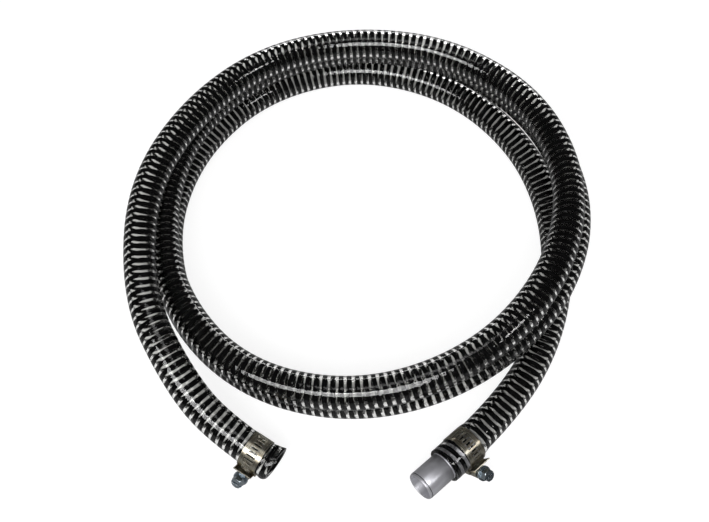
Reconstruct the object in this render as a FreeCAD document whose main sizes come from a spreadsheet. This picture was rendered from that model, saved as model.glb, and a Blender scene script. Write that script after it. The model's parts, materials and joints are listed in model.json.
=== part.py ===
"""Coiled suction hose of a pool cleaner, with a worm-drive clamp on each end.

Millimetres, +Z up.  The hose lies on the plane z = 0, and the origin is the middle of the
object's footprint on that plane.  Looking along +Y, both hose ends face the viewer: the open
mouth on the left (-X) and the connector tube on the right (+X).

Driving sizes are in the spreadsheet "Sizes".  Each sub-part is one document object whose Label
is the name of its node.
"""
import FreeCAD, Part
import math
import os
import Sketcher

V = FreeCAD.Vector
AXIS_X = V(1, 0, 0)
AXIS_Y = V(0, 1, 0)
AXIS_Z = V(0, 0, 1)

# ---------------------------------------------------------------- driving sizes, mm and degrees
SIZES = [
    # hose
    ("hose_outside", 24.6, "outside diameter, 3/4 in bore with a 2.8 mm wall"),
    ("hose_wall", 2.8, "wall thickness"),
    ("mouth_flare", 1.35, "how far the open mouth is spread, on the radius"),
    ("stretch_taper", 5.0, "length over which the hose closes down behind the connector tube"),
    ("centre_x", -5.8, "coil centre from the middle of the footprint"),
    ("centre_y", 24.8, "coil centre from the middle of the footprint"),
    # connector tube
    ("tube_outside", 21.3, "outside diameter, 1/2 in pipe"),
    ("tube_wall", 1.5, "wall thickness"),
    ("tube_free", 23.5, "length that stands out of the hose"),
    ("tube_gripped", 29.0, "length inside the hose"),
    ("tube_chamfer", 0.6, "chamfer at both rims"),
    ("tube_groove_depth", 0.25, "turned stop groove at the hose's end, depth"),
    ("tube_groove_width", 0.8, "turned stop groove, width"),
    # clamps, both the same stamping
    ("band_width", 14.3, "9/16 in band"),
    ("band_thickness", 0.65, "band sheet"),
    ("band_slot_length", 7.0, "punched slot, along the hose"),
    ("band_slot_width", 1.3, "punched slot, along the band"),
    ("band_slot_pitch", 3.0, "from slot to slot, and from thread to thread"),
    ("band_tail", 10.0, "free end that stands off past the housing"),
    ("mouth_band_setback", 9.5, "from the open mouth to the band"),
    ("tube_band_setback", 13.0, "from the hose's end to the band at the tube"),
    ("saddle_thickness", 0.7, "saddle sheet"),
    ("housing_sheet", 0.8, "housing sheet"),
    ("housing_half_length", 5.5, "half length of the housing's straps"),
    ("housing_tilt_mouth", 30.0, "housing from straight down, mouth clamp"),
    ("housing_tilt_tube", 45.0, "housing from straight down, tube clamp"),
    ("housing_gap", 0.3, "between the housing and the band that runs through it"),
    ("barrel_half_length", 7.8, "half length of the barrel round the worm"),
    ("worm_crest", 4.1, "thread radius"),
    ("worm_root", 3.0, "radius below the thread"),
    ("worm_bite", 0.35, "how far the thread stands in the band's slots"),
    ("running_clearance", 0.06, "radial clearance of the turning screw"),
    ("nose_radius", 1.5, "pin at the screw's inner end"),
    ("neck_length", 2.6, "from the barrel to the head's flange"),
    ("flange_radius", 5.5, "flange under the hexagon"),
    ("flange_thickness", 1.3, "flange under the hexagon"),
    ("hexagon_across_flats", 7.94, "5/16 in hexagon"),
    ("hexagon_height", 5.6, "hexagon"),
    ("driver_slot_width", 1.2, "screwdriver slot"),
    ("driver_slot_depth", 1.8, "screwdriver slot"),
]

# ------------------------------------------------------------------------------ the hose's route
# Points of the hose's centre line, from the open mouth to the connector tube, about the coil's
# centre.  The loose ends are points (x, y, height).  The coil's turns are (radius, height) at
# equal steps of angle, clockwise from the viewer's side as seen from above.  Heights count in
# hose diameters, because the turns lie on each other: the first turn on top, the last on the floor.
MOUTH_TAIL = [(-57, -208, 0.894), (-98, -183, 1.138), (-129, -149, 1.748)]
TURN_START = 60
TURN_STEP = 30
TURNS = [
    (185, 2.30), (168, 2.55), (156, 2.57), (157, 2.51), (160, 2.42), (169, 2.40),
    (175, 2.42), (172, 2.47), (167, 2.53), (168, 2.34), (170, 1.94), (171, 1.68),
    (164, 1.56), (159, 1.53), (164, 1.54), (169, 1.54), (175, 1.53), (182, 1.48),
    (184, 1.46), (183, 1.51), (175, 1.60), (168, 1.27), (166, 0.85), (166, 0.62),
    (164, 0.51), (161, 0.50), (162, 0.50), (169, 0.50), (174, 0.50), (172, 0.50),
    (168, 0.50), (168, 0.50), (179, 0.50),
]
TUBE_TAIL = [(112, -164, 0.732), (61, -209, 0.992)]
ARC_SHARE = 0.45          # how much of the shorter run an arc takes at each of its ends


doc = FreeCAD.newDocument("suction_hose")
sheet = doc.addObject("Spreadsheet::Sheet", "Sizes")
for row, (alias, value, words) in enumerate(SIZES, start=1):
    sheet.set("A%d" % row, words)
    sheet.set("B%d" % row, str(value))
    sheet.setAlias("B%d" % row, alias)
doc.recompute()


def size(alias):
    """The value of one cell of the sheet."""
    return float(sheet.get(alias))


# --------------------------------------------------------------------------------------- helpers
def bind(obj, **expressions):
    """Bind properties of an object to the sheet: a word in braces is a cell's alias."""
    for prop, words in expressions.items():
        path = prop.replace("__", ".")
        obj.setExpression(path, words.replace("{", "Sizes.").replace("}", ""))
    return obj


def primitive(kind, name, **expressions):
    return bind(doc.addObject("Part::" + kind, name), **expressions)


def cut(name, base, tool):
    obj = doc.addObject("Part::Cut", name)
    obj.Base = base
    obj.Tool = tool
    return obj


def common(name, base, tool):
    obj = doc.addObject("Part::Common", name)
    obj.Base = base
    obj.Tool = tool
    return obj


def fuse(name, shapes):
    obj = doc.addObject("Part::MultiFuse", name)
    obj.Shapes = shapes
    obj.Refine = True
    return obj


def along_x(obj):
    """Turn a primitive's own +Z to +X."""
    obj.Placement.Rotation = FreeCAD.Rotation(AXIS_Y, 90)
    return obj


def own_shape(name, shape):
    obj = doc.addObject("Part::Feature", name)
    obj.Shape = shape
    return obj


def unit(vector):
    return V(vector).normalize()


def rounded_path(points):
    """Straight runs joined by tangent arcs, as a list of edges and the arcs' radii."""
    edges = []
    radii = []
    start = points[0]
    for before, corner, after in zip(points, points[1:], points[2:]):
        back = unit(before - corner)
        ahead = unit(after - corner)
        half_turn = (math.pi - back.getAngle(ahead)) / 2
        reach = ARC_SHARE * min((before - corner).Length, (after - corner).Length)
        radius = reach / math.tan(half_turn)
        middle = corner + unit(back + ahead) * (radius / math.cos(half_turn) - radius)
        edges.append(Part.LineSegment(start, corner + back * reach).toShape())
        edges.append(Part.Arc(corner + back * reach, middle, corner + ahead * reach).toShape())
        radii.append(radius)
        start = corner + ahead * reach
    edges.append(Part.LineSegment(start, points[-1]).toShape())
    return edges, radii


def disc(centre, direction, radius):
    return Part.Face(Part.Wire(Part.makeCircle(radius, centre, direction)))


def sweep(edges, radius):
    """A round solid along a chain of edges."""
    first = edges[0]
    direction = first.tangentAt(first.FirstParameter)
    return Part.Wire(edges).makePipe(disc(first.valueAt(first.FirstParameter), direction, radius))


# ------------------------------------------------------------------------------------ the route
hose_outer = size("hose_outside") / 2
hose_bore = hose_outer - size("hose_wall")
coil_centre = V(size("centre_x"), size("centre_y"), 0)


def route_point(x, y, height):
    """A point of the route from its place about the coil's centre and its height in diameters."""
    return coil_centre + V(x, y, height * size("hose_outside"))


route = [route_point(*point) for point in MOUTH_TAIL]
for number, (radius, height) in enumerate(TURNS):
    angle = math.radians(TURN_START + TURN_STEP * number)
    route.append(route_point(-radius * math.sin(angle), -radius * math.cos(angle), height))
route += [route_point(*point) for point in TUBE_TAIL]
path, bend_radii = rounded_path(route)
print("hose length %.0f mm" % Part.Wire(path).Length)
print("bend radii mm:", " ".join("%.0f" % radius for radius in bend_radii))

# An edge pair (run, arc) belongs to each route point after the first.
MOUTH_TAIL_EDGES = 2 * len(MOUTH_TAIL)
TUBE_TAIL_EDGES = 2 * len(TUBE_TAIL) - 1
mouth_path = path[:MOUTH_TAIL_EDGES]
coil_path = path[MOUTH_TAIL_EDGES:-TUBE_TAIL_EDGES]
tube_path = path[-TUBE_TAIL_EDGES:]


# ----------------------------------------------------------------------------------- hose pieces
def hose_mouth_end():
    """The loose end with the open mouth, which is spread like a trumpet."""
    mouth = route[0]
    inward = unit(route[1] - route[0])
    flare = size("mouth_band_setback") - size("housing_sheet") - size("running_clearance")
    spread = size("mouth_flare")
    outside = Part.makeCone(hose_outer + spread, hose_outer, flare, mouth, inward)
    inside = Part.makeCone(hose_bore + spread, hose_bore, flare, mouth, inward)
    wall = sweep(mouth_path, hose_outer).fuse(outside)
    return wall.cut(sweep(mouth_path, hose_bore)).cut(inside).removeSplitter()


def hose_coil():
    """The turns, as one open pipe."""
    return sweep(coil_path, hose_outer).cut(sweep(coil_path, hose_bore))


def hose_tube_end():
    """The loose end that grips the connector tube, and takes its own size again over the taper."""
    end = route[-1]
    inward = unit(route[-2] - route[-1])
    gripped = size("tube_gripped")
    taper = size("stretch_taper")
    taper_start = end + inward * gripped
    taper_end = taper_start + inward * taper
    last_run = Part.LineSegment(tube_path[-1].firstVertex(True).Point, taper_end).toShape()
    free_path = tube_path[:-1] + [last_run]
    outside = Part.makeCylinder(stretched_outer, gripped, end, inward)
    outside = outside.fuse(Part.makeCone(stretched_outer, hose_outer, taper, taper_start, inward))
    inside = Part.makeCylinder(tube_radius, gripped, end, inward)
    inside = inside.fuse(Part.makeCone(tube_radius, hose_bore, taper, taper_start, inward))
    wall = sweep(free_path, hose_outer).fuse(outside)
    return wall.cut(sweep(free_path, hose_bore)).cut(inside).removeSplitter()


tube_radius = size("tube_outside") / 2
# The stretched wall keeps the area of its section.
stretched_outer = math.sqrt(tube_radius ** 2 + hose_outer ** 2 - hose_bore ** 2)

mouth_end = own_shape("hose_mouth_end", hose_mouth_end())
coil = own_shape("hose_coil", hose_coil())
tube_end = own_shape("hose_tube_end", hose_tube_end())
coil_length = Part.Wire(coil_path).Length
coil_section = math.pi * (hose_outer ** 2 - hose_bore ** 2)
print("coil volume over section times length: %.5f" % (coil.Shape.Volume / coil_length / coil_section))


# -------------------------------------------------------------------------------- connector tube
def profile_sketch(body, name, corners):
    """A closed outline on the body's XZ plane: each corner is a pair of expressions (x, y)."""
    plane = [item for item in body.Origin.OriginFeatures if item.Role == "XZ_Plane"][0]
    sketch = body.newObject("Sketcher::SketchObject", name)
    sketch.AttachmentSupport = (plane, [""])
    sketch.MapMode = "FlatFace"
    count = len(corners)
    for number in range(count):
        here = V(2 + number, 1 + number, 0)
        there = V(2 + (number + 1) % count, 1 + (number + 1) % count, 0)
        sketch.addGeometry(Part.LineSegment(here, there), False)
    for number in range(count):
        sketch.addConstraint(Sketcher.Constraint("Coincident", number, 2, (number + 1) % count, 1))
    for number, pair in enumerate(corners):
        for kind, words in zip(("DistanceX", "DistanceY"), pair):
            index = sketch.addConstraint(Sketcher.Constraint(kind, -1, 1, number, 1, 1.0 + number))
            sketch.setExpression("Constraints[%d]" % index, words.replace("{", "Sizes.").replace("}", ""))
    return sketch


def connector_tube():
    """A turned pipe: chamfered rims, a stop groove where the hose ends.

    It is drawn from its inner end (y = 0) to its free mouth, and stands on a height of one so
    that every distance in the outline is above zero.
    """
    outer = "{tube_outside} / 2"
    inner = "{tube_outside} / 2 - {tube_wall}"
    chamfer = "{tube_chamfer}"
    groove = "{tube_outside} / 2 - {tube_groove_depth}"
    stop = "1 + {tube_gripped}"
    end = "1 + {tube_gripped} + {tube_free}"
    body = doc.addObject("PartDesign::Body", "connector_tube")
    outline = profile_sketch(body, "tube_outline", [
        (inner, "1"),
        (outer + " - " + chamfer, "1"),
        (outer, "1 + " + chamfer),
        (outer, stop),
        (groove, stop),
        (groove, stop + " + {tube_groove_width}"),
        (outer, stop + " + {tube_groove_width}"),
        (outer, end + " - " + chamfer),
        (outer + " - " + chamfer, end),
        (inner, end),
    ])
    turned = body.newObject("PartDesign::Revolution", "tube_turned")
    turned.Profile = outline
    turned.ReferenceAxis = (outline, ["V_Axis"])
    turned.Angle = 360
    return body


tube = connector_tube()
outward = unit(route[-1] - route[-2])
tube.Placement = FreeCAD.Placement(route[-1] - outward * (size("tube_gripped") + 1),
                                   FreeCAD.Rotation(AXIS_Z, outward))


# ---------------------------------------------------------------------------------------- clamps
# A clamp is drawn about the hose's axis: X along the hose, the housing's middle at -Z and the
# screw's head towards +Y.  Angles round the band count from the housing's middle towards the head.
SADDLE_HALF_ANGLE = 20
PLAIN_END_ANGLE = -22
RAMP_END_ANGLE = 335
TAIL_ANGLE = 385
RAMP_BEND_SHARE = 0.63    # radius of the ramp's bend, from that of the band
RING_SLOTS = (52, 292)    # first and last angle of the ring's slots
BORE_REACH = 40           # longer than anything that it cuts


def band_radii(seat):
    """Centre-line radii of the band's ring and of its overlapping end, on a hose of radius seat."""
    ring = seat + size("band_thickness") / 2
    overlap = ring + size("band_thickness") + size("saddle_thickness")
    return ring, overlap


def worm_axis_radius(seat):
    """Distance from the hose's axis to the screw's."""
    overlap = band_radii(seat)[1]
    return overlap + size("band_thickness") / 2 - size("worm_bite") + size("worm_crest")


def round_spot(radius, angle):
    angle = math.radians(angle)
    return V(0, radius * math.sin(angle), -radius * math.cos(angle))


def round_way(angle):
    angle = math.radians(angle)
    return V(0, math.cos(angle), math.sin(angle))


def round_arc(radius, first, last):
    middle = (first + last) / 2
    return Part.Arc(round_spot(radius, first), round_spot(radius, middle), round_spot(radius, last)).toShape()


def band_shape(seat):
    """The punched strip: once round the hose, up a ramp, over the saddle and out as a free tail."""
    ring, overlap = band_radii(seat)
    bend = RAMP_BEND_SHARE * ring
    straight = math.sqrt((overlap - ring) * (overlap + ring - 2 * bend))
    ramp_angle = math.degrees(math.atan2(straight, ring - bend))
    ramp_start = RAMP_END_ANGLE - ramp_angle
    foot = round_spot(ring, ramp_start)
    lift = foot + round_way(ramp_start) * straight
    bend_centre = lift - (foot * (bend / ring))
    bend_middle = bend_centre + round_spot(bend, ramp_start + ramp_angle / 2)
    edges = [
        round_arc(ring, PLAIN_END_ANGLE, (PLAIN_END_ANGLE + ramp_start) / 2),
        round_arc(ring, (PLAIN_END_ANGLE + ramp_start) / 2, ramp_start),
        Part.LineSegment(foot, lift).toShape(),
        Part.Arc(lift, bend_middle, round_spot(overlap, RAMP_END_ANGLE)).toShape(),
        round_arc(overlap, RAMP_END_ANGLE, TAIL_ANGLE),
        Part.LineSegment(round_spot(overlap, TAIL_ANGLE),
                         round_spot(overlap, TAIL_ANGLE) + round_way(TAIL_ANGLE) * size("band_tail")).toShape(),
    ]
    half_width = AXIS_X * (size("band_width") / 2)
    half_sheet = unit(round_spot(ring, PLAIN_END_ANGLE)) * (size("band_thickness") / 2)
    start = round_spot(ring, PLAIN_END_ANGLE)
    corners = [start - half_width - half_sheet, start + half_width - half_sheet,
               start + half_width + half_sheet, start - half_width + half_sheet]
    section = Part.Face(Part.makePolygon(corners + corners[:1]))
    strip = Part.Wire(edges).makePipe(section)

    ring_step = math.degrees(size("band_slot_pitch") / ring)
    overlap_step = math.degrees(size("band_slot_pitch") / overlap)
    slots = []
    ring_count = int((RING_SLOTS[1] - RING_SLOTS[0]) / ring_step) + 1
    for number in range(ring_count):
        slots.append(slot_tool(ring, RING_SLOTS[0] + number * ring_step))
    for number in (-1, 0, 1):
        slots.append(slot_tool(overlap, number * overlap_step))
    tail_slot = slot_tool(overlap, TAIL_ANGLE)
    tail_slot.translate(round_way(TAIL_ANGLE) * size("band_slot_pitch"))
    slots.append(tail_slot)
    return strip.cut(Part.makeCompound(slots))


def slot_tool(radius, angle):
    """A box through the sheet at one place of the band."""
    length = size("band_slot_length")
    width = size("band_slot_width")
    depth = 2 * size("band_thickness")
    tool = Part.makeBox(length, width, depth, V(-length / 2, -width / 2, -radius - depth / 2))
    tool.rotate(V(0, 0, 0), AXIS_X, angle)
    return tool


def saddle(name, seat_words):
    """The curved bridge between the band's plain end and its overlapping end."""
    low = seat_words + " + {band_thickness}"
    high = low + " + {saddle_thickness}"
    outer = along_x(primitive("Cylinder", name + "_outer", Radius=high, Height="{band_width}"))
    inner = along_x(primitive("Cylinder", name + "_inner", Radius=low, Height="{band_width}"))
    half_span = "(%s) * sin(%d deg)" % (high, SADDLE_HALF_ANGLE)
    window = primitive("Box", name + "_window", Length="{band_width}", Width="2 * " + half_span,
                       Height=high, Placement__Base__y="-" + half_span,
                       Placement__Base__z="-(%s)" % high)
    sheet_ring = cut(name + "_ring", outer, inner)
    piece = common(name, sheet_ring, window)
    return piece


def housing(name, seat_words):
    """Straps over the band's edges, shoulders over the band and a barrel round the worm."""
    over_band = seat_words + " + 2 * {band_thickness} + {saddle_thickness}"
    screw_line = over_band + " - {worm_bite} + {worm_crest}"
    half_width = "({band_width} / 2 + {housing_sheet})"
    roof = over_band + " + {housing_gap} + {housing_sheet}"
    cavity = "{worm_crest} + {running_clearance}"
    straps = primitive("Box", name + "_straps", Length="2 * " + half_width, Width="2 * {housing_half_length}",
                       Height=roof, Placement__Base__x="-" + half_width,
                       Placement__Base__y="-{housing_half_length}", Placement__Base__z="-(%s)" % roof)
    barrel = primitive("Cylinder", name + "_barrel", Radius=cavity + " + {housing_sheet}",
                       Height="2 * {barrel_half_length}", Placement__Base__y="-{barrel_half_length}",
                       Placement__Base__z="-(%s)" % screw_line)
    worm_space = primitive("Cylinder", name + "_worm_space", Radius=cavity,
                           Height="2 * ({barrel_half_length} - {housing_sheet})",
                           Placement__Base__y="-({barrel_half_length} - {housing_sheet})",
                           Placement__Base__z="-(%s)" % screw_line)
    nose_hole = primitive("Cylinder", name + "_nose_hole", Radius="{nose_radius} + {running_clearance}",
                          Height="{barrel_half_length}",
                          Placement__Base__y="-{barrel_half_length}", Placement__Base__z="-(%s)" % screw_line)
    neck_hole = primitive("Cylinder", name + "_neck_hole", Radius="{worm_root} + {running_clearance}",
                          Height="{barrel_half_length}", Placement__Base__z="-(%s)" % screw_line)
    for obj in (barrel, worm_space, nose_hole, neck_hole):
        obj.Placement.Rotation = FreeCAD.Rotation(AXIS_X, -90)
    band_space = along_x(primitive("Cylinder", name + "_band_space", Radius=over_band + " + {housing_gap}",
                                   Height="{band_width}", Placement__Base__x="-{band_width} / 2"))
    hose_space = along_x(primitive("Cylinder", name + "_hose_space",
                                   Radius=seat_words + " + {running_clearance}", Height=str(BORE_REACH),
                                   Placement__Base__x=str(-BORE_REACH / 2)))
    solid = fuse(name + "_solid", [straps, barrel])
    space = fuse(name + "_space", [worm_space, nose_hole, neck_hole, band_space, hose_space])
    return cut(name, solid, space)


def screw(name):
    """Slotted hexagon head, flange, neck, worm and nose, along +Z from the worm's middle."""
    reach = "{barrel_half_length} - {housing_sheet} - {running_clearance}"
    flange_at = "{barrel_half_length} + {neck_length}"
    head_at = flange_at + " + {flange_thickness}"
    nose = primitive("Cylinder", name + "_nose", Radius="{nose_radius}", Height="{barrel_half_length}",
                     Placement__Base__z="-{barrel_half_length}")
    shank = primitive("Cylinder", name + "_shank", Radius="{worm_root}",
                      Height=reach + " + " + flange_at, Placement__Base__z="-(%s)" % reach)
    flange = primitive("Cylinder", name + "_flange", Radius="{flange_radius}", Height="{flange_thickness}",
                       Placement__Base__z=flange_at)
    hexagon = primitive("Prism", name + "_hexagon", Circumradius="{hexagon_across_flats} / sqrt(3)",
                        Height="{hexagon_height}", Placement__Base__z=head_at)
    hexagon.Polygon = 6
    crown = primitive("Cone", name + "_crown", Radius1="{hexagon_across_flats} / 2 + {hexagon_height}",
                      Radius2="{hexagon_across_flats} / 2", Height="{hexagon_height}",
                      Placement__Base__z=head_at)
    head = common(name + "_head", hexagon, crown)
    pieces = [nose, shank, flange, head]
    for number in range(-2, 3):
        for side, words in (("rise", "-"), ("fall", "")):
            ridge = primitive("Cone", "%s_thread_%s_%d" % (name, side, number + 3),
                              Radius1="{worm_root}" if side == "rise" else "{worm_crest}",
                              Radius2="{worm_crest}" if side == "rise" else "{worm_root}",
                              Height="{band_slot_pitch} / 5",
                              Placement__Base__z="%d * {band_slot_pitch}%s" % (
                                  number, " - {band_slot_pitch} / 5" if words else ""))
            pieces.append(ridge)
    solid = fuse(name + "_solid", pieces)
    driver = primitive("Box", name + "_driver", Length="3 * {flange_radius}", Width="{driver_slot_width}",
                       Height="2 * {driver_slot_depth}", Placement__Base__x="-1.5 * {flange_radius}",
                       Placement__Base__y="-{driver_slot_width} / 2",
                       Placement__Base__z=head_at + " + {hexagon_height} - {driver_slot_depth}")
    return cut(name, solid, driver)


def clamp_place(end, inner, setback, tilt, flip):
    """Placement of a clamp: its middle on the straight end of the hose, its head to the outside."""
    inward = unit(inner - end)
    middle = end + inward * (setback + size("band_width") / 2)
    along = inward if flip else inward * -1
    side = unit(AXIS_Z.cross(along))
    up = unit(along.cross(side))
    tilt = math.radians(tilt)
    to_head = side * math.cos(tilt) + up * math.sin(tilt)
    away = up * math.cos(tilt) - side * math.sin(tilt)
    return FreeCAD.Placement(middle, FreeCAD.Rotation(along, to_head, away, "XYZ"))


def clamp(prefix, seat, seat_words, place):
    """The four pieces of one clamp."""
    band = own_shape(prefix + "_clamp_band", band_shape(seat))
    band.Placement = place
    bridge = saddle(prefix + "_clamp_saddle", seat_words)
    bridge.Placement = place.multiply(FreeCAD.Placement(V(-size("band_width") / 2, 0, 0), FreeCAD.Rotation()))
    cover = housing(prefix + "_clamp_housing", seat_words)
    cover.Placement = place
    bolt = screw(prefix + "_clamp_screw")
    line = FreeCAD.Placement(V(0, 0, -worm_axis_radius(seat)), FreeCAD.Rotation(AXIS_X, -90))
    bolt.Placement = place.multiply(line)
    print(prefix, "screw line passes", tuple(round(value, 4) for value in bolt.Placement.Base), "towards",
          tuple(round(value, 5) for value in bolt.Placement.Rotation.multVec(AXIS_Z)))
    return [band, bridge, cover, bolt]


mouth_place = clamp_place(route[0], route[1], size("mouth_band_setback"), size("housing_tilt_mouth"), True)
tube_place = clamp_place(route[-1], route[-2], size("tube_band_setback"), size("housing_tilt_tube"), False)
STRETCHED_WORDS = "sqrt(({tube_outside} / 2) ^ 2 + {hose_wall} * ({hose_outside} - {hose_wall}))"
nodes = [mouth_end, coil, tube_end, tube]
nodes += clamp("mouth", hose_outer, "{hose_outside} / 2", mouth_place)
nodes += clamp("tube", stretched_outer, STRETCHED_WORDS, tube_place)
for node in nodes:
    node.Label = node.Name

doc.recompute()

# ------------------------------------------------------------------------------ checks and export
for obj in doc.Objects:
    if "Invalid" in obj.State or "Error" in obj.State:
        raise RuntimeError("%s failed: %s" % (obj.Name, obj.State))
for node in nodes:
    if node.Shape.isNull() or not node.Shape.isValid() or not node.Shape.Solids:
        raise RuntimeError("%s has no valid solid" % node.Label)

print("mouth bore centre", tuple(round(v, 3) for v in route[0]), "axis",
      tuple(round(v, 5) for v in unit(route[0] - route[1])))
print("tube end", tuple(round(v, 3) for v in route[-1] + outward * size("tube_free")), "axis",
      tuple(round(v, 5) for v in outward))
box = FreeCAD.BoundBox()
os.makedirs("parts", exist_ok=True)
for node in nodes:
    box.add(node.Shape.BoundBox)
    node.Shape.exportStep("parts/%s.step" % node.Label)
    print("%-22s %9.1f mm3  %d solid" % (node.Label, node.Shape.Volume, len(node.Shape.Solids)))
print("box", box)
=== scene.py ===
"""Looks of a pool cleaner's coiled suction hose: clear flexible wall, black spiral rib, push-in
connector tube and two worm-drive clamps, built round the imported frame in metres, +Z up.

Every piece is a mesh whose place is in its vertices, and the object itself sits at the origin.
"""

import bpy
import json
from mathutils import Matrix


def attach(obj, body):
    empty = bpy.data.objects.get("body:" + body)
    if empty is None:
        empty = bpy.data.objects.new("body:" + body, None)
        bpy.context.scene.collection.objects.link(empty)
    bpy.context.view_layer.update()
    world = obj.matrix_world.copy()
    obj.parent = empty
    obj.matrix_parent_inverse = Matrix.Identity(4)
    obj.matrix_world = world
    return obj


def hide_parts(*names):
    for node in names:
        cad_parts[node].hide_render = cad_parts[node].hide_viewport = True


bl_info = {
    "name": "Coiled Suction Hose",
    "version": (1, 0, 0),
    "blender": (4, 5, 0),
    "location": "View3D > Sidebar > Suction Hose",
    "description": "Builds a coiled spiral-rib suction hose with its connector tube and clamps",
    "category": "Add Mesh",
}

import bisect
import json
import math

import bmesh
import bpy
from bpy.props import FloatProperty, IntProperty, PointerProperty, StringProperty
from mathutils import Matrix, Vector

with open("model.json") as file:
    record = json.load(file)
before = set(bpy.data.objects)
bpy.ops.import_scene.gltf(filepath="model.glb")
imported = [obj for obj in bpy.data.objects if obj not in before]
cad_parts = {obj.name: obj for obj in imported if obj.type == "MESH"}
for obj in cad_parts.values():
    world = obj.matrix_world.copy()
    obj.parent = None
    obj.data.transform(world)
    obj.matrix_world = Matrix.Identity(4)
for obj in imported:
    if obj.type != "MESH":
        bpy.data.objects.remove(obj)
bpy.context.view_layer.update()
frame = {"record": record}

MM = 0.001
BODY = "hose_assembly"
UP = Vector((0.0, 0.0, 1.0))
MOUNTS = {mount["name"]: mount for mount in frame["record"]["mounts"]}
BORE_RADIUS = MOUNTS["hose_mouth"]["dims"]["r_mm"] * MM
TUBE_RADIUS = MOUNTS["connector_spigot"]["dims"]["r_mm"] * MM
TUBE_BORE = MOUNTS["connector_bore"]["dims"]["r_mm"] * MM
MERGED = 0.001 * MM       # vertices nearer than this are one
END_REACH = 25 * MM       # what is nearer than this to a cut end of the hose belongs to that end

# ---------------------------------------------------------------- route of the hose, metres
# The same points as the frame's hose: free tail at the open mouth as (x, y, height), turns of the
# coil as (radius, height) every TURN_STEP degrees, free tail at the connector tube.  They are
# about the coil's centre, and heights count in hose diameters.
HOSE_DIAMETER = 24.6 * MM
COIL_CENTRE = Vector((-5.8, 24.8, 0.0)) * MM
MOUTH_TAIL = [(-57, -208, 0.894), (-98, -183, 1.138), (-129, -149, 1.748)]
TURN_START = 60
TURN_STEP = 30
TURNS = [
    (185, 2.30), (168, 2.55), (156, 2.57), (157, 2.51), (160, 2.42), (169, 2.40), (175, 2.42),
    (172, 2.47), (167, 2.53), (168, 2.34), (170, 1.94), (171, 1.68), (164, 1.56), (159, 1.53),
    (164, 1.54), (169, 1.54), (175, 1.53), (182, 1.48), (184, 1.46), (183, 1.51), (175, 1.60),
    (168, 1.27), (166, 0.85), (166, 0.62), (164, 0.51), (161, 0.50), (162, 0.50), (169, 0.50),
    (174, 0.50), (172, 0.50), (168, 0.50), (168, 0.50), (179, 0.50),
]
TUBE_TAIL = [(112, -164, 0.732), (61, -209, 0.992)]
ROUTE_STEPS = 24          # stretches of the smooth line from point to point


def route_points():
    """Control points of the hose's centre line, from the open mouth to the connector tube."""
    places = list(MOUTH_TAIL)
    for number, (radius, height) in enumerate(TURNS):
        angle = math.radians(TURN_START + TURN_STEP * number)
        places.append((-radius * math.sin(angle), -radius * math.cos(angle), height))
    places += TUBE_TAIL
    return [COIL_CENTRE + Vector((x * MM, y * MM, height * HOSE_DIAMETER))
            for x, y, height in places]


def route_line(points):
    """Points along the smooth NURBS line that the route's control points draw."""
    curve = bpy.data.curves.new("hose_route", "CURVE")
    curve.dimensions = "3D"
    spline = curve.splines.new("NURBS")
    spline.points.add(len(points) - 1)
    for place, point in zip(spline.points, points):
        place.co = (*point, 1.0)
    spline.order_u = 3
    spline.use_endpoint_u = True
    spline.resolution_u = ROUTE_STEPS
    holder = bpy.data.objects.new("hose_route", curve)
    mesh = bpy.data.meshes.new_from_object(holder)
    line = [vertex.co.copy() for vertex in mesh.vertices]
    bpy.data.objects.remove(holder)
    bpy.data.curves.remove(curve)
    bpy.data.meshes.remove(mesh)
    return line


class Route:
    """Centre line with its directions, which carries shapes given along, out from and round it."""

    def __init__(self, line):
        self.line = line
        self.along = [0.0]
        for before, after in zip(line, line[1:]):
            self.along.append(self.along[-1] + (after - before).length)
        self.length = self.along[-1]
        self.rights = []
        self.ups = []
        for number in range(len(line)):
            before = line[max(number - 1, 0)]
            after = line[min(number + 1, len(line) - 1)]
            ahead = (after - before).normalized()
            right = ahead.cross(UP).normalized()
            self.rights.append(right)
            self.ups.append(right.cross(ahead))

    def place(self, distance, radius, angle):
        """Point at a distance along, at a radius, at an angle from the top towards the right."""
        number = min(max(bisect.bisect_right(self.along, distance) - 1, 0), len(self.line) - 2)
        start, stop = self.along[number], self.along[number + 1]
        share = (distance - start) / (stop - start)
        centre = self.line[number].lerp(self.line[number + 1], share)
        right = self.rights[number].lerp(self.rights[number + 1], share)
        up = self.ups[number].lerp(self.ups[number + 1], share)
        return centre + up * (radius * math.cos(angle)) + right * (radius * math.sin(angle))


# ---------------------------------------------------------------- sizes and colours to change
def millimetres(name, value, description):
    """A length property, given in millimetres and kept in metres."""
    return FloatProperty(name=name, description=description, default=value * MM, unit="LENGTH")


def colour(name, hex_colour, description):
    """A colour property, given and kept as an sRGB hex colour."""
    return StringProperty(name=name, description=description, default=hex_colour)


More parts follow.
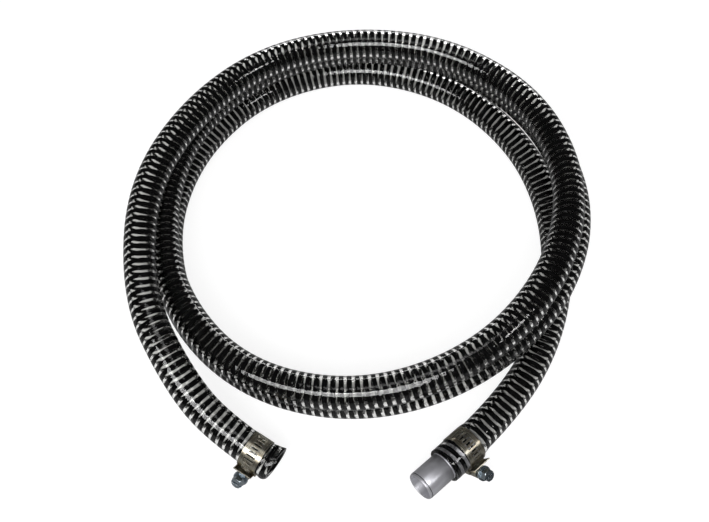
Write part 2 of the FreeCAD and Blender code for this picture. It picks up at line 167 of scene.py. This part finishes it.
class HoseSizes(bpy.types.PropertyGroup):
    wall: millimetres("Wall", 2.8, "Wall thickness")
    rib_pitch: millimetres("Rib Pitch", 6.0, "From rib to rib")
    rib_width: millimetres("Rib Width", 3.3, "Black rib, along the hose")
    rib_height: millimetres("Rib Height", 2.2, "Black rib, through the wall behind the mouth")
    rib_skin: millimetres("Rib Skin", 0.3, "Clear skin over the rib")
    rib_lap: millimetres("Rib Lap", 5.0, "From the hose's end to the middle of its first rib")
    sink: millimetres("Sink", 0.1, "How far the skin sinks between the ribs")
    mouth_flare: millimetres("Mouth Flare", 1.9, "How far the mouth is spread, on the radius")
    flare_length: millimetres("Flare Length", 8.6, "Length of the spread mouth")
    askew: millimetres("Askew", 1.0, "How far the near side of the mouth is cut back")
    pressed: millimetres("Pressed", 3.0, "How far the near side of the mouth is bent in")
    gripped: millimetres("Gripped", 29.0, "Length stretched over the connector tube")
    taper: millimetres("Taper", 5.0, "Length over which the hose closes down behind the tube")
    around: IntProperty(name="Sides", description="Faces round the wall", default=26, min=12)
    clear_colour: colour("Clear Wall", "f4f4f2", "sRGB hex colour of the clear PVC")
    rib_colour: colour("Rib", "050506", "sRGB hex colour of the rib")


class TubeSizes(bpy.types.PropertyGroup):
    free: millimetres("Free Length", 23.5, "Length that stands out of the hose")
    groove_depth: millimetres("Groove Depth", 0.25, "Stop groove at the hose's end, depth")
    groove_width: millimetres("Groove Width", 0.8, "Stop groove at the hose's end, width")
    rim: millimetres("Rim", 0.5, "Rounding of the rims")
    chamfer: millimetres("Chamfer", 1.6, "Length of the free rim's chamfer")
    score: millimetres("Score", 0.6, "Width of the dark line turned behind the chamfer")
    metal_colour: colour("Aluminium", "d4d5da", "sRGB hex colour of the tube")


class ClampSizes(bpy.types.PropertyGroup):
    band_width: millimetres("Band Width", 14.3, "Width of the band")
    mouth_setback: millimetres("Mouth Setback", 9.5, "From the open mouth to its band")
    tube_setback: millimetres("Tube Setback", 13.0, "From the hose's end at the tube to its band")
    edge: millimetres("Edge", 0.25, "Rounding of the pressed edges")
    strip_colour: colour("Strip", "b4b0a2", "sRGB hex colour of the rolled stainless strip")
    tarnish_colour: colour("Tarnish", "8a7450", "sRGB hex colour of the heat tint near the bends")
    zinc_colour: colour("Zinc", "c3ccd2", "sRGB hex colour of the zinc plate")


class StageSizes(bpy.types.PropertyGroup):
    aim: millimetres("Aim Height", 20.0, "Height of the point that the camera looks at")
    distance: millimetres("Distance", 686.0, "From the camera to its aim")
    elevation: FloatProperty(
        name="Elevation", description="Camera above the horizon", default=math.radians(60.0),
        subtype="ANGLE")
    lens: FloatProperty(name="Lens", description="Focal length in millimetres", default=43.464)
    floor_colour: colour("Floor", "8c8c8c", "sRGB hex colour of the sweep under its white glow")


# ---------------------------------------------------------------- helpers
MULTIPLY = {"operation": "MULTIPLY"}
ADD = {"operation": "ADD"}
COLOURS = {"data_type": "RGBA"}        # of a Mix node: share 0, colours 6 and 7


def linear(hex_colour):
    """Linear RGBA of an sRGB hex colour."""
    channels = [int(hex_colour[at:at + 2], 16) / 255 for at in (0, 2, 4)]
    return tuple(c / 12.92 if c <= 0.04045 else ((c + 0.055) / 1.055) ** 2.4
                 for c in channels) + (1.0,)


def add(tree, kind, settings=None, **inputs):
    """Adds a node, sets its settings, and gives each input a value or links a socket to it.

    An input is named with _ for a space, or by its number after a _.  A node given as a value
    stands for its first output in use.
    """
    node = tree.nodes.new(kind)
    for name, value in (settings or {}).items():
        setattr(node, name, value)
    for name, value in inputs.items():
        socket = node.inputs[int(name[1:]) if name[0] == "_" else name.replace("_", " ")]
        if isinstance(value, bpy.types.Node):
            value = next(output for output in value.outputs if output.enabled)
        if isinstance(value, bpy.types.NodeSocket):
            tree.links.new(value, socket)
        else:
            socket.default_value = value
    return node


def finish_material(name, tree_maker, sizes):
    """Node material named for the real one, whose surface a function makes in its tree."""
    material = bpy.data.materials.new(name)
    material.use_nodes = True
    tree = material.node_tree
    tree.nodes.clear()
    surface = tree_maker(tree, sizes)
    add(tree, "ShaderNodeOutputMaterial", Surface=surface)
    return material


def stretched_grain(tree, vector, scale, detail=3.0, roughness=0.5):
    """Grain from 0 to 1, whose grains are one over the scale's three numbers in size."""
    spread_out = add(tree, "ShaderNodeVectorMath", MULTIPLY, _0=vector, _1=scale)
    return add(tree, "ShaderNodeTexNoise", Vector=spread_out, Scale=1.0, Detail=detail,
               Roughness=roughness)


def piece_of(name, bm, material):
    """Makes a smooth-shaded object of a bmesh, which rides on the hose."""
    bmesh.ops.recalc_face_normals(bm, faces=bm.faces)
    mesh = bpy.data.meshes.new(name)
    bm.to_mesh(mesh)
    bm.free()
    mesh.shade_smooth()
    piece = bpy.data.objects.new(name, mesh)
    bpy.context.scene.collection.objects.link(piece)
    mesh.materials.append(material)
    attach(piece, BODY)
    return piece


# ---------------------------------------------------------------- materials of the hose
def clear_flexible_pvc(tree, sizes):
    """Plasticised PVC extruded clear: wet gloss, with faint draw lines along the hose and a patchy
    bloom of plasticiser that dulls it here and there."""
    unrolled = add(tree, "ShaderNodeUVMap")                   # pitches along, turns round
    lines = stretched_grain(tree, unrolled, (0.05, 90.0, 1.0), 4.0)              # 0.9 mm apart
    drawn = add(tree, "ShaderNodeBump", Strength=1.0, Distance=0.0015 * MM, Height=lines)
    where = add(tree, "ShaderNodeTexCoord")
    bloom = stretched_grain(tree, where.outputs["Object"], (90.0, 90.0, 90.0), 5.0)    # 11 mm
    scuffs = stretched_grain(tree, unrolled, (1.5, 30.0, 1.0), 2.0)              # 4 by 2.6 mm
    dulled = add(tree, "ShaderNodeMath", MULTIPLY, _0=bloom, _1=scuffs)
    tint = add(tree, "ShaderNodeMix", COLOURS, _0=bloom, _6=linear(sizes.clear_colour),
               _7=linear("dcdcda"))
    roughness = add(tree, "ShaderNodeMapRange", Value=dulled, To_Min=0.05, To_Max=0.16)
    return add(tree, "ShaderNodeBsdfPrincipled", Base_Color=tint, IOR=1.53, Transmission_Weight=1.0,
               Roughness=roughness, Normal=drawn)


def black_rigid_pvc(tree, sizes):
    """Unplasticised PVC bead, carbon black, bonded in the clear wall: deep black, and no gloss of
    its own, because the wall around it bends light as much as it does."""
    where = add(tree, "ShaderNodeTexCoord")
    grain = stretched_grain(tree, where.outputs["Object"], (700.0, 700.0, 700.0))     # 1.4 mm
    shade = add(tree, "ShaderNodeMix", COLOURS, _0=grain, _6=linear(sizes.rib_colour),
                _7=linear("0c0c0e"))
    skin = add(tree, "ShaderNodeBump", Strength=0.4, Distance=0.02 * MM, Height=grain)
    roughness = add(tree, "ShaderNodeMapRange", Value=grain, To_Min=0.45, To_Max=0.6)
    return add(tree, "ShaderNodeBsdfPrincipled", Base_Color=shade, IOR=1.54,
               Specular_IOR_Level=0.03, Roughness=roughness, Normal=skin)


# ---------------------------------------------------------------- materials of the metal parts
MEAN_RADIUS = 12.0 * MM       # turns an angle round a fitting into metres


def round_space(tree, place):
    """Metres along the axis of one fitting, and metres round it."""
    where = add(tree, "ShaderNodeTexCoord")
    centred = add(tree, "ShaderNodeMapping", {"vector_type": "TEXTURE"},
                  Vector=where.outputs["Object"], Location=place.translation,
                  Rotation=place.to_euler())
    split = add(tree, "ShaderNodeSeparateXYZ", Vector=centred)
    angle = add(tree, "ShaderNodeMath", {"operation": "ARCTAN2"}, _0=split.outputs["Y"],
                _1=split.outputs["Z"])
    turned = add(tree, "ShaderNodeMath", MULTIPLY, _0=angle, _1=MEAN_RADIUS)
    return add(tree, "ShaderNodeCombineXYZ", X=split.outputs["X"], Y=turned)


def rounded_edges(tree, radius):
    """Normal of edges rounded by a radius, and a value that is high where they wear bright."""
    rounded_off = add(tree, "ShaderNodeBevel", {"samples": 6}, Radius=radius)
    flat = add(tree, "ShaderNodeNewGeometry")
    turned = add(tree, "ShaderNodeVectorMath", {"operation": "DOT_PRODUCT"}, _0=rounded_off,
                 _1=flat.outputs["True Normal"])
    wear = add(tree, "ShaderNodeMapRange", Value=turned, From_Min=0.995, From_Max=0.9)
    return rounded_off, wear


def drawn_aluminium(place):
    """Seamless aluminium tube, drawn and left to weather: satin grey with lines along the tube,
    milky under its oxide film, so it is a little less than all metal, and with painted shade, a
    near black line in the groove turned behind the chamfer.  The lines stretch its highlights round
    the tube."""
    def make(tree, sizes):
        across = round_space(tree, place)
        lines = stretched_grain(tree, across, (25.0, 3200.0, 1.0), 4.0, 0.6)         # 0.3 mm apart
        cloud = stretched_grain(tree, across, (120.0, 160.0, 1.0), 4.0)              # 7 mm
        shade = add(tree, "ShaderNodeMix", COLOURS, _0=cloud, _6=linear(sizes.metal_colour),
                    _7=linear("b4b3ba"))
        streaks = add(tree, "ShaderNodeMath", MULTIPLY, _0=lines, _1=0.35)
        shade = add(tree, "ShaderNodeMix", COLOURS, _0=streaks, _6=shade, _7=linear("e6e5ea"))

        where = add(tree, "ShaderNodeTexCoord")
        out = add(tree, "ShaderNodeVectorMath", {"operation": "SUBTRACT"},
                  _0=where.outputs["Object"], _1=place.translation)
        around = add(tree, "ShaderNodeVectorMath", {"operation": "CROSS_PRODUCT"},
                     _0=place.col[0].xyz, _1=out)
        reach = add(tree, "ShaderNodeVectorMath", {"operation": "LENGTH"}, _0=around)
        outside = add(tree, "ShaderNodeMath", {"operation": "GREATER_THAN"}, _0=reach,
                      _1=(TUBE_RADIUS + TUBE_BORE) / 2)
        # Painted shade: the outside of the groove turned behind the chamfer is painted near black
        # (1c1c20), as the shade that falls in it.
        along = add(tree, "ShaderNodeSeparateXYZ", Vector=across)
        in_line = add(tree, "ShaderNodeMath", {"operation": "COMPARE"}, _0=along.outputs["X"],
                      _1=sizes.free - sizes.chamfer - sizes.score / 2, _2=sizes.score / 2)
        painted_groove_shade = add(tree, "ShaderNodeMath", MULTIPLY, _0=in_line, _1=outside)
        painted_groove_shade = add(tree, "ShaderNodeMath", MULTIPLY, _0=painted_groove_shade, _1=0.85)
        shade = add(tree, "ShaderNodeMix", COLOURS, _0=painted_groove_shade, _6=shade, _7=linear("1c1c20"))

        satin = add(tree, "ShaderNodeMapRange", Value=lines, To_Min=0.3, To_Max=0.38)
        film = add(tree, "ShaderNodeMath", MULTIPLY, _0=cloud, _1=0.1)
        roughness = add(tree, "ShaderNodeMath", ADD, _0=satin, _1=film)
        scored = add(tree, "ShaderNodeBump", Strength=1.0, Distance=0.005 * MM, Height=lines)
        return add(tree, "ShaderNodeBsdfPrincipled", Base_Color=shade, Metallic=0.6,
                   Anisotropic=0.75, Anisotropic_Rotation=0.25, Tangent=around,
                   Roughness=roughness, Normal=scored)
    return make


def rolled_stainless(place):
    """Ferritic stainless strip, cold rolled and punched: bright, with rolling lines along the
    band, a straw tint where it was bent, and edges worn brighter."""
    def make(tree, sizes):
        across = round_space(tree, place)
        lines = stretched_grain(tree, across, (2600.0, 60.0, 1.0), 4.0, 0.6)         # 0.4 mm apart
        cloud = stretched_grain(tree, across, (180.0, 110.0, 1.0), 3.0)              # 6 to 9 mm
        straw = add(tree, "ShaderNodeMapRange", Value=cloud, From_Min=0.4, From_Max=0.75,
                    To_Max=0.7)
        shade = add(tree, "ShaderNodeMix", COLOURS, _0=straw, _6=linear(sizes.strip_colour),
                    _7=linear(sizes.tarnish_colour))
        streaks = add(tree, "ShaderNodeMath", MULTIPLY, _0=lines, _1=0.3)
        shade = add(tree, "ShaderNodeMix", COLOURS, _0=streaks, _6=shade, _7=linear("c9c6ba"))
        edges, wear = rounded_edges(tree, sizes.edge)
        rubbed = add(tree, "ShaderNodeMath", MULTIPLY, _0=wear, _1=0.5)
        shade = add(tree, "ShaderNodeMix", COLOURS, _0=rubbed, _6=shade, _7=linear("dedbd0"))
        scored = add(tree, "ShaderNodeBump", Strength=1.0, Distance=0.003 * MM, Height=lines,
                     Normal=edges)
        roughness = add(tree, "ShaderNodeMapRange", Value=lines, To_Min=0.2, To_Max=0.36)
        return add(tree, "ShaderNodeBsdfPrincipled", Base_Color=shade, Metallic=1.0,
                   Roughness=roughness, Normal=scored)
    return make


def zinc_plated_steel(tree, sizes):
    """Cold-headed steel screw, zinc plated and blue passivated: cool grey, blotchy sheen, with
    the corners rubbed bright and a darker film in patches."""
    where = add(tree, "ShaderNodeTexCoord")
    blotch = stretched_grain(tree, where.outputs["Object"], (450.0, 450.0, 450.0), 4.0)    # 2.2 mm
    grit = stretched_grain(tree, where.outputs["Object"], (2500.0, 2500.0, 2500.0), 2.0)   # 0.4 mm
    shade = add(tree, "ShaderNodeMix", COLOURS, _0=blotch, _6=linear(sizes.zinc_colour),
                _7=linear("8e9ba5"))
    edges, wear = rounded_edges(tree, sizes.edge)
    rubbed = add(tree, "ShaderNodeMath", MULTIPLY, _0=wear, _1=0.6)
    shade = add(tree, "ShaderNodeMix", COLOURS, _0=rubbed, _6=shade, _7=linear("e3e9ec"))
    pitted = add(tree, "ShaderNodeBump", Strength=1.0, Distance=0.004 * MM, Height=grit,
                 Normal=edges)
    roughness = add(tree, "ShaderNodeMapRange", Value=blotch, To_Min=0.14, To_Max=0.34)
    return add(tree, "ShaderNodeBsdfPrincipled", Base_Color=shade, Metallic=1.0,
               Roughness=roughness, Normal=pitted)


# ---------------------------------------------------------------- the hose
RIB_END = 0.43            # share of a turn at which the rib reaches the connector tube's end
RIB_LENGTHS = 3           # the rib is made in lengths, to keep each mesh light
RIB_SIDES = 8             # faces round the rib's own section
RIB_STEPS = 36            # stretches of the rib in each turn
RIB_LINING = 0.15 * MM    # clear wall inside the rib
RIB_SHORT = 0.08 * MM     # how far behind the wall's cut end the rib is cut off
SKIN_STEPS = 6            # stations of the outside in each pitch, where the skin sinks
LIP = 0.35 * MM           # corner of the cut wall that is broken
LIP_TURN = 0.3            # share of the lip at which its corner turns


def spread(sizes, route, distance):
    """How far the hose's inner wall stands out from its own bore at a distance along."""
    if distance < sizes.flare_length:
        return sizes.mouth_flare * (1.0 - distance / sizes.flare_length)
    from_tube = route.length - distance
    stretch = TUBE_RADIUS - BORE_RADIUS
    if from_tube < sizes.gripped:
        return stretch
    if from_tube < sizes.gripped + sizes.taper:
        return stretch * (1.0 - (from_tube - sizes.gripped) / sizes.taper)
    return 0.0


def wall_radii(sizes, route, distance):
    """Inner and outer radius of the wall, which keeps its section's area where it is stretched."""
    inner = BORE_RADIUS + spread(sizes, route, distance)
    outside = BORE_RADIUS + sizes.wall
    if distance < route.length / 2:
        return inner, inner + sizes.wall
    return inner, math.sqrt(inner ** 2 + outside ** 2 - BORE_RADIUS ** 2)


def winding(sizes, route):
    """Pitch and number of turns of the rib, which ends part of a turn before the hose does."""
    span = route.length - 2 * sizes.rib_lap
    turns = math.floor(span / sizes.rib_pitch) - 1 + RIB_END
    return span / turns, turns


def roll_round(bm, sizes, route, outline):
    """Rolls a closed outline of (distance, radius, share of the sink between ribs) round the
    route, with UVs in pitches along and turns round."""
    uv_layer = bm.loops.layers.uv.verify()
    pitch = winding(sizes, route)[0]
    made = bmesh.ops.create_grid(bm, x_segments=len(outline), y_segments=sizes.around, size=0.5)
    closed = outline + outline[:1]
    for vertex in made["verts"]:
        distance, radius, share = closed[round((vertex.co.x + 0.5) * len(outline))]
        turn = vertex.co.y + 0.5
        for loop in vertex.link_loops:
            loop[uv_layer].uv = (distance / pitch, turn)
        from_rib = (distance - sizes.rib_lap) / pitch - turn
        radius -= share * sizes.sink * (1.0 - math.cos(from_rib * math.tau)) / 2
        vertex.co = route.place(distance, radius, turn * math.tau)
    bmesh.ops.remove_doubles(bm, verts=bm.verts, dist=MERGED)


def lip_points(sizes, route, end, inward):
    """Cut end of the wall, from the outside in, with its corners broken."""
    inner, outer = wall_radii(sizes, route, end)
    turn = LIP_TURN * LIP
    return [(end + inward * turn, outer - turn, 0.5), (end, outer - LIP, 0.0),
            (end, inner + LIP, 0.0), (end + inward * turn, inner + turn, 0.0)]


def stations(route, step):
    """Distances along the route, a step apart, between its two lips."""
    span = route.length - 2 * LIP
    count = round(span / step)
    return [LIP + span * number / count for number in range(count + 1)]


def wall_outline(sizes, route):
    """Closed outline of the wall: out along the ribbed outside, back along the smooth bore."""
    outside = [(distance, wall_radii(sizes, route, distance)[1], 1.0)
               for distance in stations(route, sizes.rib_pitch / SKIN_STEPS)]
    inside = [(distance, wall_radii(sizes, route, distance)[0], 0.0)
              for distance in reversed(stations(route, sizes.rib_pitch))]
    tube_lip = lip_points(sizes, route, route.length, -1)
    mouth_lip = lip_points(sizes, route, 0.0, 1)
    return outside + tube_lip + inside + mouth_lip[::-1]


def press_mouth(bm, sizes, route):
    """Cuts the mouth askew, and bends its near side in to a rounded lip."""
    end = route.line[0]
    inward = (route.line[1] - end).normalized()
    for vertex in bm.verts:
        out = vertex.co - end
        along = out.dot(inward)
        if out.length > END_REACH or along > sizes.flare_length:
            continue
        aside = (out - inward * along).normalized()
        fade = 1.0 - max(along, 0.0) / sizes.flare_length
        near = (1.0 - aside.dot(route.rights[0])) / 2
        vertex.co += inward * (sizes.askew * near * fade)
        vertex.co -= aside * (sizes.pressed * near ** 2 * fade ** 4)


def rounded(value):
    """Turns a unit circle's coordinate into that of a square with rounded corners."""
    return math.copysign(abs(value) ** 0.6, value)


class HOSE_OT_hose(bpy.types.Operator):
    bl_idname = "suction_hose.hose"
    bl_label = "Hose"

    def execute(self, context):
        sizes = context.scene.hose_sizes
        route = Route(route_line(route_points()))
        bm = bmesh.new()
        roll_round(bm, sizes, route, wall_outline(sizes, route))
        press_mouth(bm, sizes, route)
        material = finish_material("clear_flexible_pvc", clear_flexible_pvc, sizes)
        wall = piece_of("hose_wall", bm, material)
        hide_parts("hose_mouth_end", "hose_coil", "hose_tube_end")
        ribs = self.make_ribs(sizes, route)
        return {"FINISHED"}

    def make_ribs(self, sizes, route):
        """One rib from end to end, which winds right-handed and is cut off with the hose."""
        pitch, turns = winding(sizes, route)
        past_end = (sizes.rib_lap + sizes.rib_width) / pitch
        share = (turns + 2 * past_end) / RIB_LENGTHS
        material = finish_material("black_rigid_pvc", black_rigid_pvc, sizes)
        pieces = []
        for number in range(RIB_LENGTHS):
            bm = bmesh.new()
            made = bmesh.ops.create_grid(bm, x_segments=round(share * RIB_STEPS),
                                         y_segments=RIB_SIDES, size=0.5)
            for vertex in made["verts"]:
                turn = (number + vertex.co.x + 0.5) * share - past_end
                around = (vertex.co.y + 0.5) * math.tau
                distance = sizes.rib_lap + turn * pitch
                inner, outer = wall_radii(sizes, route, distance)
                high = outer - sizes.rib_skin
                low = inner + RIB_LINING
                if distance > sizes.flare_length:
                    low = max(low, high - sizes.rib_height)
                radius = (low + high) / 2 + rounded(math.sin(around)) * (high - low) / 2
                distance += rounded(math.cos(around)) * sizes.rib_width / 2
                vertex.co = route.place(distance, radius, turn * math.tau)
            bmesh.ops.remove_doubles(bm, verts=bm.verts, dist=MERGED)
            for end, before in (route.line[:2], route.line[:-3:-1]):
                self.cut_off(bm, end, (end - before).normalized())
            bmesh.ops.holes_fill(bm, edges=bm.edges, sides=0)
            press_mouth(bm, sizes, route)
            pieces.append(piece_of(f"hose_rib_{number + 1}", bm, material))
        return pieces

    def cut_off(self, bm, end, outward):
        """Takes off what stands past the hose's end."""
        faces = {face for face in bm.faces if (face.calc_center_median() - end).length < END_REACH}
        near = [face for face in bm.faces if face in faces]
        for kind in (bm.edges, bm.verts):
            near += [element for element in kind if not faces.isdisjoint(element.link_faces)]
        bmesh.ops.bisect_plane(bm, geom=near, dist=0.0001 * MM, plane_co=end - outward * RIB_SHORT,
                               plane_no=outward, clear_outer=True)


# ---------------------------------------------------------------- connector tube and clamps
TUBE_SIDES = 96           # faces round the tube
RIM_STEPS = 4             # faces across a rounded rim
SHARP = 1.0               # angle in radians past which a turned corner is rounded


def axis_place(point, along):
    """Frame of a fitting: X along the hose, Z away from the floor."""
    side = UP.cross(along).normalized()
    matrix = Matrix((along, side, along.cross(side))).transposed().to_4x4()
    matrix.translation = point
    return matrix


class HOSE_OT_connector(bpy.types.Operator):
    """Make the aluminium connector tube with its rounded rims and stop groove"""
    bl_idname = "suction_hose.connector"
    bl_label = "Connector Tube"

    def execute(self, context):
        sizes = context.scene.tube_sizes
        gripped = context.scene.hose_sizes.gripped
        points = route_points()
        outward = (points[-1] - points[-2]).normalized()
        place = axis_place(points[-1], outward)
        end = sizes.free
        turned = end - sizes.chamfer
        in_groove = TUBE_RADIUS - sizes.groove_depth
        outline = [(-gripped, TUBE_BORE), (-gripped, TUBE_RADIUS), (0.0, TUBE_RADIUS),
                   (0.0, in_groove), (sizes.groove_width, in_groove),
                   (sizes.groove_width, TUBE_RADIUS), (turned - sizes.score, TUBE_RADIUS),
                   (turned - sizes.score / 2, in_groove), (turned, TUBE_RADIUS),
                   (end, TUBE_RADIUS - sizes.chamfer / 4), (end, TUBE_BORE)]
        bm = bmesh.new()
        corners = [bm.verts.new((along, 0.0, radius)) for along, radius in outline]
        for one, other in zip(corners, corners[1:] + corners[:1]):
            bm.edges.new((one, other))
        bmesh.ops.spin(bm, geom=bm.verts[:] + bm.edges[:], cent=(0, 0, 0), axis=(1, 0, 0),
                       dvec=(0, 0, 0), angle=math.tau, steps=TUBE_SIDES, use_merge=True)
        bmesh.ops.remove_doubles(bm, verts=bm.verts, dist=MERGED)
        rims = [edge for edge in bm.edges if edge.calc_face_angle(0.0) > SHARP
                and not 0.0 <= edge.verts[0].co.x <= turned]
        bmesh.ops.bevel(bm, geom=rims, offset=sizes.rim, segments=RIM_STEPS, profile=0.5,
                        affect="EDGES", material=-1)
        bmesh.ops.transform(bm, matrix=place, verts=bm.verts)
        material = finish_material("drawn_aluminium", drawn_aluminium(place), sizes)
        sleeve = piece_of("connector_sleeve", bm, material)
        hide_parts("connector_tube")
        return {"FINISHED"}


class HOSE_OT_clamps(bpy.types.Operator):
    """Finish the two worm-drive clamps: rolled stainless strip and zinc-plated screws"""
    bl_idname = "suction_hose.clamps"
    bl_label = "Clamps"

    def execute(self, context):
        sizes = context.scene.clamp_sizes
        points = route_points()
        zinc = finish_material("zinc_plated_steel", zinc_plated_steel, sizes)
        ends = (("mouth", points[0], points[1], sizes.mouth_setback),
                ("tube", points[-1], points[-2], sizes.tube_setback))
        for name, end, inner_point, setback in ends:
            inward = (inner_point - end).normalized()
            place = axis_place(end + inward * (setback + sizes.band_width / 2), inward)
            strip = finish_material(f"rolled_stainless_{name}", rolled_stainless(place), sizes)
            for part in ("band", "saddle", "housing"):
                self.paint(f"{name}_clamp_{part}", strip)
            self.paint(f"{name}_clamp_screw", zinc)
        return {"FINISHED"}

    def paint(self, name, material):
        """Gives one CAD node its material."""
        node = bpy.data.objects[name]
        for slot in node.material_slots:
            slot.material = material


# ---------------------------------------------------------------- stage
class HOSE_OT_stage(bpy.types.Operator):
    """Make the camera, the floor, the world and the lamps"""
    bl_idname = "suction_hose.stage"
    bl_label = "Stage"

    # name, place in metres, width and height in metres, watts
    LAMPS = [
        ("front_strip", (0.0, -0.75, 1.5), (0.9, 0.2), 3.4),
        ("front_left", (-0.38, -1.03, 1.4), (1.9, 0.7), 26.0),
        ("low_back", (0.25, 1.7, 0.22), (1.7, 0.36), 9.0),
        ("overhead", (0.0, 0.15, 1.9), (0.9, 0.5), 2.0),
        ("right_spot", (1.27, -0.5, 1.33), (0.35, 0.35), 3.0),
    ]

    GLOW = 0.86           # what the camera sees of the floor beside lamplight, and of the world
    GLOSS_SHARE = 0.05    # what gloss sees of the floor beside lamplight
    CLEAR_SHARE = 0.18    # what shows through clear walls of the floor beside lamplight
    ROOM = 0.05           # light from all round
    AIM = (-7.3 * MM, -16.2 * MM)
    FLOOR_REACH = 4.0     # metres from the middle to each side

    def execute(self, context):
        sizes = context.scene.stage_sizes
        scene = context.scene
        aim = Vector((*self.AIM, sizes.aim))
        back = Vector((0.0, -math.cos(sizes.elevation), math.sin(sizes.elevation)))
        camera = bpy.data.objects.new("camera", bpy.data.cameras.new("camera"))
        camera.data.lens = sizes.lens
        camera.data.clip_start = 0.01
        camera.location = aim + back * sizes.distance
        camera.rotation_euler = (-back).to_track_quat("-Z", "Y").to_euler()
        scene.collection.objects.link(camera)
        scene.camera = camera
        scene.view_settings.view_transform = "Standard"
        self.make_floor(scene, sizes)
        self.make_world(scene)
        for name, place, span, watts in self.LAMPS:
            self.make_lamp(scene, name, Vector(place), aim, span, watts)
        return {"FINISHED"}

    def make_floor(self, scene, sizes):
        """Level sweep under the coil."""
        bm = bmesh.new()
        bmesh.ops.create_grid(bm, x_segments=8, y_segments=8, size=self.FLOOR_REACH)
        mesh = bpy.data.meshes.new("floor")
        bm.to_mesh(mesh)
        bm.free()
        floor = bpy.data.objects.new("floor", mesh)
        scene.collection.objects.link(floor)
        mesh.materials.append(finish_material("matt_white_sweep", self.sweep, sizes))

    def sweep(self, tree, sizes):
        """Matt sweep that the camera sees as white, and gloss and clear walls as paler."""
        path = add(tree, "ShaderNodeLightPath")
        shade = add(tree, "ShaderNodeMix", COLOURS, _0=path.outputs["Is Transmission Ray"],
                    _6=linear(sizes.floor_colour), _7=linear("f2f2f2"))
        shares = (("Is Camera Ray", self.GLOW), ("Is Glossy Ray", self.GLOSS_SHARE),
                  ("Is Transmission Ray", self.CLEAR_SHARE))
        camera, gloss, clear = (add(tree, "ShaderNodeMath", MULTIPLY, _0=path.outputs[ray], _1=share)
                                for ray, share in shares)
        glow = add(tree, "ShaderNodeMath", ADD, _0=camera, _1=gloss)
        glow = add(tree, "ShaderNodeMath", ADD, _0=glow, _1=clear)
        return add(tree, "ShaderNodeBsdfPrincipled", Base_Color=shade, Roughness=0.9,
                   Specular_IOR_Level=0.0, Emission_Color=(1.0, 1.0, 1.0, 1.0),
                   Emission_Strength=glow)

    def make_world(self, scene):
        """World as white as the floor for the camera, and a faint light from all round."""
        world = bpy.data.worlds.new("studio")
        scene.world = world
        world.use_nodes = True
        tree = world.node_tree
        tree.nodes.clear()
        path = add(tree, "ShaderNodeLightPath")
        strength = add(tree, "ShaderNodeMapRange", Value=path.outputs["Is Camera Ray"],
                       To_Min=self.ROOM, To_Max=self.GLOW)
        room = add(tree, "ShaderNodeBackground", Color=(1.0, 1.0, 1.0, 1.0), Strength=strength)
        add(tree, "ShaderNodeOutputWorld", Surface=room)

    def make_lamp(self, scene, name, place, aim, span, watts):
        """Soft rectangular lamp turned to the camera's aim."""
        data = bpy.data.lights.new(name, "AREA")
        data.shape = "RECTANGLE"
        data.size, data.size_y = span
        data.energy = watts
        lamp = bpy.data.objects.new(name, data)
        lamp.location = place
        lamp.rotation_euler = (aim - place).to_track_quat("-Z", "Y").to_euler()
        scene.collection.objects.link(lamp)


GROUPS = {"tube_sizes": TubeSizes, "hose_sizes": HoseSizes, "clamp_sizes": ClampSizes,
          "stage_sizes": StageSizes}


class HOSE_PT_sizes(bpy.types.Panel):
    """Sizes and colours of the suction hose, with the operators that make its pieces"""
    bl_idname = "HOSE_PT_sizes"
    bl_label = "Suction Hose"
    bl_space_type = "VIEW_3D"
    bl_region_type = "UI"
    bl_category = "Suction Hose"

    def draw(self, context):
        for maker, name in zip(("connector", "hose", "clamps", "stage"), GROUPS):
            box = self.layout.box()
            box.operator("suction_hose." + maker)
            group = getattr(context.scene, name)
            for prop in GROUPS[name].__annotations__:
                box.prop(group, prop)


CLASSES = (*GROUPS.values(), HOSE_OT_stage, HOSE_OT_connector, HOSE_OT_hose, HOSE_OT_clamps,
           HOSE_PT_sizes)


def register():
    for cls in CLASSES:
        bpy.utils.register_class(cls)
    for name, group in GROUPS.items():
        setattr(bpy.types.Scene, name, PointerProperty(type=group))


def unregister():
    for name in GROUPS:
        delattr(bpy.types.Scene, name)
    for cls in reversed(CLASSES):
        bpy.utils.unregister_class(cls)


def main():
    register()
    bpy.ops.suction_hose.stage()
    bpy.ops.suction_hose.connector()
    bpy.ops.suction_hose.hose()
    bpy.ops.suction_hose.clamps()


if __name__ == "__main__":
    main()
